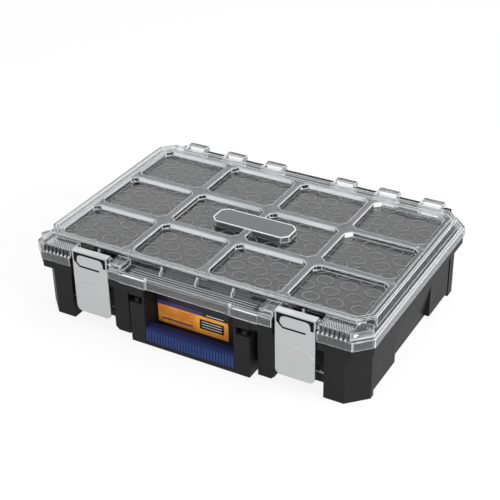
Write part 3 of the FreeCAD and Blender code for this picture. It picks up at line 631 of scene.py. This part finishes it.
def label_print():
    """Plain print on the label: a two-tone heading whose black top is partly painted shadow under the lid,
    thin lines and a blank table, with no words or signs.
    """
    low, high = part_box("front_label")
    wide, tall = high.x - low.x, high.z - low.z
    film = 0.04 * MM
    inks = {"black": LABEL_BLACK, "violet": LABEL_VIOLET, "white": LABEL_WHITE, "brown": LABEL_BROWN}
    # Left, right, lower and upper edge as shares of the label, then the order in which the inks lie
    print_shares = [
        # black over the label's whole top: partly the heading's print, partly painted shadow under the lid's
        # overhang
        ("black", 0.0, 1.0, 0.585, 1.0, 1),
        ("violet", 0.0, 0.64, 0.595, 0.71, 2),
        ("white", 0.70, 0.94, 0.64, 0.66, 3),
        ("black", 0.60, 0.94, 0.16, 0.48, 1),
        ("violet", 0.06, 0.50, 0.12, 0.17, 1),
    ]
    lines, first_line, line_pitch, line_tall = 5, 0.5, 0.055, 0.014
    for i in range(lines):
        foot = first_line - line_pitch * i
        right = 0.5 - 0.05 * (i % 2)
        print_shares.append(("brown", 0.06, right, foot, foot + line_tall, 1))
    table_rows, first_row, row_pitch, row_tall = 3, 0.225, 0.085, 0.02
    for i in range(table_rows):
        foot = first_row + row_pitch * i
        print_shares.append(("white", 0.63, 0.91, foot, foot + row_tall, 2))
    shapes = {ink: bmesh.new() for ink in inks}
    for ink, left, right, bottom, top, layer in print_shares:
        corner_low = (low.x + wide * left, low.y - film * layer, low.z + tall * bottom)
        corner_high = (low.x + wide * right, low.y, low.z + tall * top)
        bar(shapes[ink], corner_low, corner_high, film / 4, 1)
    for ink, shape in shapes.items():
        piece(f"label_{ink}_print", shape, "case", [inks[ink]])


def slot_hooks():
    """Moulded hook that stands in the slot of each handle arm, sloping down to the front."""
    slot_middle, slot_low = 77 * MM, 59.2 * MM
    slot_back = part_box("handle_grip")[0].y + 12 * MM
    half_wide, tall, reach, sunk, edge = 3.25 * MM, 6 * MM, 9.5 * MM, 0.5 * MM, 0.6 * MM
    slope = (0, 2 * MM, -1.5 * MM)
    shape = bmesh.new()
    for sign in SIDES.values():
        x = sign * slot_middle
        low = (x - half_wide, slot_back - reach, slot_low - sunk)
        high = (x + half_wide, slot_back + sunk, slot_low + tall)
        made = block(shape, low, high)
        nose = [v for v in made if v.co.y < slot_back - reach / 2 and v.co.z > slot_low]
        bmesh.ops.translate(shape, verts=nose, vec=slope)
        soften(shape, edges_at(made), edge)
    piece("slot_hooks", shape, "case", [TRAY])


# Latches

def latch_panel(side):
    """Low panel pressed forward in the latch plate below its tongue; its edge shows as a faint line."""
    low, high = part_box(f"latch_plate_{side}")
    middle = (low.x + high.x) / 2
    # Millimetres across from the latch's middle, and up from the floor
    edge_points = [(-25, 44), (25, 44), (25, 55), (12.5, 65), (-12.5, 65), (-25, 55)]
    proud, sunk, edge = 0.5 * MM, 0.3 * MM, 0.3 * MM
    shape = bmesh.new()
    shape.faces.new([shape.verts.new((middle + x * MM, low.y + sunk, z * MM)) for x, z in edge_points])
    front = thicken(shape, (0, -proud - sunk, 0))
    rim = [e for e in shape.edges if all(v in front for v in e.verts)]
    soften(shape, rim, edge)
    piece(f"latch_{side}_panel", shape, f"latch_{side}", [ZINC])


def latch_shade_sheet(side):
    """Dark sheet behind the latch plate's window: painted shade that makes the slit round the tongue dark.
    """
    low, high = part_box(f"latch_plate_{side}")
    middle = (low.x + high.x) / 2
    half_wide, thick, edge = 25.3 * MM, 0.8 * MM, 0.2 * MM
    sheet, gap = 1.6 * MM, 0.05 * MM
    front = low.y + sheet + gap
    foot, head = high.z - 24.5 * MM, high.z - 1.9 * MM
    shape = bmesh.new()
    bar(shape, (middle - half_wide, front, foot), (middle + half_wide, front + thick, head), edge)
    piece(f"latch_{side}_shade_sheet", shape, f"latch_{side}", [PAINTED_SHADE_STEEL])


# All pieces

def dressed_pieces():
    """CAD nodes that only get rounded edges and a finish."""
    dress("base_tray", "tray", 0.6 * MM, TRAY)
    for row in range(1, ROWS + 1):
        for column in range(1, COLUMNS + 1):
            dress(f"bin_row_{row}_column_{column}", f"bin_{row}_{column}", 0.4 * MM, BIN)
    dress("lid_seal", "seal", 0.3 * MM, SEAL)
    dress("handle_grip", "grip", 0.4 * MM, GRIP)
    dress("front_label", "label", 0.1 * MM, LABEL_ORANGE)
    for side in SIDES:
        dress(f"latch_plate_{side}", f"latch_{side}_plate", 0.35 * MM, ZINC)
        dress(f"latch_pin_{side}", f"latch_{side}_pin", 0.3 * MM, PAINTED_SHADE_WIRE)
        dress(f"hinge_pin_{side}", f"hinge_{side}_pin", 0.3 * MM, PAINTED_SHADE_WIRE)


dressed_pieces()
lid_shell()
honeycomb()
lid_lines()
badge()
corner_fins()
corner_pebbles()
tab_posts()
grip_ribs()
label_print()
slot_hooks()
for side in SIDES:
    latch_panel(side)
    latch_shade_sheet(side)


# Camera, floor and light

CAMERA_PLACE = Vector((0.6643, -1.1753, 0.8809))
CAMERA_AZIMUTH = math.radians(29.73)
CAMERA_ELEVATION = math.radians(31.054)
CAMERA_ROLL = math.radians(-1.055)
CAMERA_LENS = 85.77
CAMERA_SENSOR = 36
WHITE = (1, 1, 1, 1)
SKY_LIGHT, SKY_SEEN = 0.5, 1          # strength as a light, and where a ray sees the studio
FLOOR_SIZE = 30
FLOOR_GLOW = 0.86                     # share of plain white where a ray sees the floor


def camera():
    """Camera at the photograph's viewing angle."""
    data = bpy.data.cameras.new("camera")
    data.lens = CAMERA_LENS
    data.sensor_width = CAMERA_SENSOR
    back = Vector((math.sin(CAMERA_AZIMUTH) * math.cos(CAMERA_ELEVATION),
                   -math.cos(CAMERA_AZIMUTH) * math.cos(CAMERA_ELEVATION), math.sin(CAMERA_ELEVATION)))
    right = Vector((math.cos(CAMERA_AZIMUTH), math.sin(CAMERA_AZIMUTH), 0))
    up = back.cross(right)
    turned_right = math.cos(CAMERA_ROLL) * right + math.sin(CAMERA_ROLL) * up
    turned_up = -math.sin(CAMERA_ROLL) * right + math.cos(CAMERA_ROLL) * up
    turn = Matrix((turned_right, turned_up, back)).transposed().to_4x4()
    made = bpy.data.objects.new("camera", data)
    made.matrix_world = Matrix.Translation(CAMERA_PLACE) @ turn
    bpy.context.scene.collection.objects.link(made)
    bpy.context.scene.camera = made


def either(material, first, second):
    """One where either of two ray tests is one."""
    return add(material, "ShaderNodeMath", {0: first, 1: second}, operation="MAXIMUM").outputs[0]


def seen(material):
    """One for rays from the camera, from a mirror or through glass, which see the plain white studio."""
    path = add(material, "ShaderNodeLightPath").outputs
    direct = either(material, path["Is Camera Ray"], path["Is Glossy Ray"])
    return either(material, direct, path["Is Transmission Ray"])


def studio():
    """White surroundings and a white floor that takes only a soft shadow."""
    world = bpy.data.worlds.new("studio")
    bpy.context.scene.world = world
    world.use_nodes = True
    sky = world.node_tree.nodes["Background"]
    sky.inputs["Color"].default_value = WHITE
    join(world, spread(world, seen(world), SKY_LIGHT, SKY_SEEN), sky, "Strength")

    shape = bmesh.new()
    bmesh.ops.create_grid(shape, x_segments=1, y_segments=1, size=FLOOR_SIZE)
    mesh = bpy.data.meshes.new("floor")
    shape.to_mesh(mesh)
    shape.free()
    floor = bpy.data.objects.new("floor", mesh)
    bpy.context.scene.collection.objects.link(floor)
    paper = bpy.data.materials.new("white_paper")
    paper.use_nodes = True
    mesh.materials.append(paper)
    nodes = paper.node_tree.nodes
    nodes.remove(nodes["Principled BSDF"])
    matt = add(paper, "ShaderNodeBsdfDiffuse", {"Color": linear("#f2f2f2")})
    glow = add(paper, "ShaderNodeEmission", {"Color": WHITE, "Strength": 1})
    share = add(paper, "ShaderNodeMath", {0: seen(paper), 1: FLOOR_GLOW}, operation="MULTIPLY")
    mix = add(paper, "ShaderNodeMixShader",
              {0: share.outputs[0], 1: matt.outputs["BSDF"], 2: glow.outputs["Emission"]})
    join(paper, mix.outputs["Shader"], nodes["Material Output"], "Surface")


def lamp(name, place, target, size, power):
    """Square soft light at a place, turned to a target; lengths in metres, power in watts."""
    data = bpy.data.lights.new(name, "AREA")
    data.size = size
    data.energy = power
    made = bpy.data.objects.new(name, data)
    made.location = place
    made.rotation_euler = (Vector(target) - Vector(place)).to_track_quat("-Z", "Y").to_euler()
    bpy.context.scene.collection.objects.link(made)


camera()
studio()
lamp("side_light", (2.0, 0.1, 0.9), (0, 0, 0.05), 1.4, 60)
lamp("top_light", (-0.2, 0.5, 2.0), (0, 0, 0.05), 1.8, 18)
lamp("front_light", (0.1, -2.1, 0.9), (0, 0, 0.1), 1.8, 21)
bpy.context.scene.view_settings.view_transform = "Standard"
